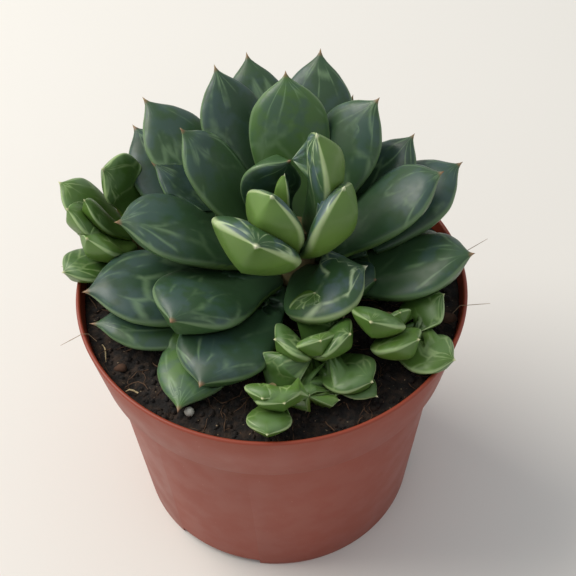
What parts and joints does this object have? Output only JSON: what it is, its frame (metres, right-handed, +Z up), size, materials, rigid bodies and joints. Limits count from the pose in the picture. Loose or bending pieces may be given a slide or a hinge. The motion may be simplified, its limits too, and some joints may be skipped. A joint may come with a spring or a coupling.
{
  "type": "potted haworthia",
  "caption": "Small succulent with a rosette of thick pointed leaves and four offsets, growing in peat in a round tapered plastic nursery pot with a tall collar.",
  "frame": {"origin": "on the plane of the pot's foot, under the middle of the whole outline; the pot's axis is 2.1 mm to the +X side of it", "axes": "+Z up along the pot's axis, -Y towards the side of the offsets"},
  "size_m": [0.1092, 0.106, 0.131],
  "materials": {
    "terracotta_plastic": "matte moulded",
    "peat": "rough",
    "stem": "matt",
    "dark_leaf": "satin, waxy",
    "offset_leaf": "satin, waxy"
  },
  "bodies": {
    "root": {"front_leaf_a": "offset_leaf", "front_leaf_b": "offset_leaf", "front_leaf_c": "offset_leaf", "front_leaf_d": "offset_leaf", "front_leaf_e": "offset_leaf", "front_leaf_f": "offset_leaf", "front_leaf_g": "offset_leaf", "front_stem": "stem", "left_leaf_a": "offset_leaf", "left_leaf_b": "offset_leaf", "left_leaf_c": "offset_leaf", "left_leaf_d": "offset_leaf", "left_leaf_e": "offset_leaf", "left_leaf_f": "offset_leaf", "left_stem": "stem", "main_leaf_heart_a": "dark_leaf", "main_leaf_heart_b": "dark_leaf", "main_leaf_heart_c": "dark_leaf", "main_leaf_inner_a": "dark_leaf", "main_leaf_inner_b": "dark_leaf", "main_leaf_inner_c": "dark_leaf", "main_leaf_inner_d": "dark_leaf", "main_leaf_middle_a": "dark_leaf", "main_leaf_middle_b": "dark_leaf", "main_leaf_middle_c": "dark_leaf", "main_leaf_middle_d": "dark_leaf", "main_leaf_middle_e": "dark_leaf", "main_leaf_middle_f": "dark_leaf", "main_leaf_middle_g": "dark_leaf", "main_leaf_outer_a": "dark_leaf", "main_leaf_outer_b": "dark_leaf", "main_leaf_outer_c": "dark_leaf", "main_leaf_outer_d": "dark_leaf", "main_leaf_outer_e": "dark_leaf", "main_leaf_outer_f": "dark_leaf", "main_leaf_outer_g": "dark_leaf", "main_leaf_outer_h": "dark_leaf", "main_leaf_outer_i": "dark_leaf", "main_leaf_outer_j": "dark_leaf", "main_leaf_outer_k": "dark_leaf", "main_leaf_outer_l": "dark_leaf", "main_leaf_outer_m": "dark_leaf", "main_leaf_outer_n": "dark_leaf", "main_leaf_outer_o": "dark_leaf", "main_stem": "stem", "pot": "terracotta_plastic", "right_leaf_a": "offset_leaf", "right_leaf_b": "offset_leaf", "right_leaf_c": "offset_leaf", "right_leaf_d": "offset_leaf", "right_leaf_e": "offset_leaf", "right_stem": "stem", "small_leaf_a": "offset_leaf", "small_leaf_b": "offset_leaf", "small_leaf_c": "offset_leaf", "small_leaf_d": "offset_leaf", "small_leaf_e": "offset_leaf", "small_stem": "stem", "soil": "peat"}
  },
  "joints": []
}
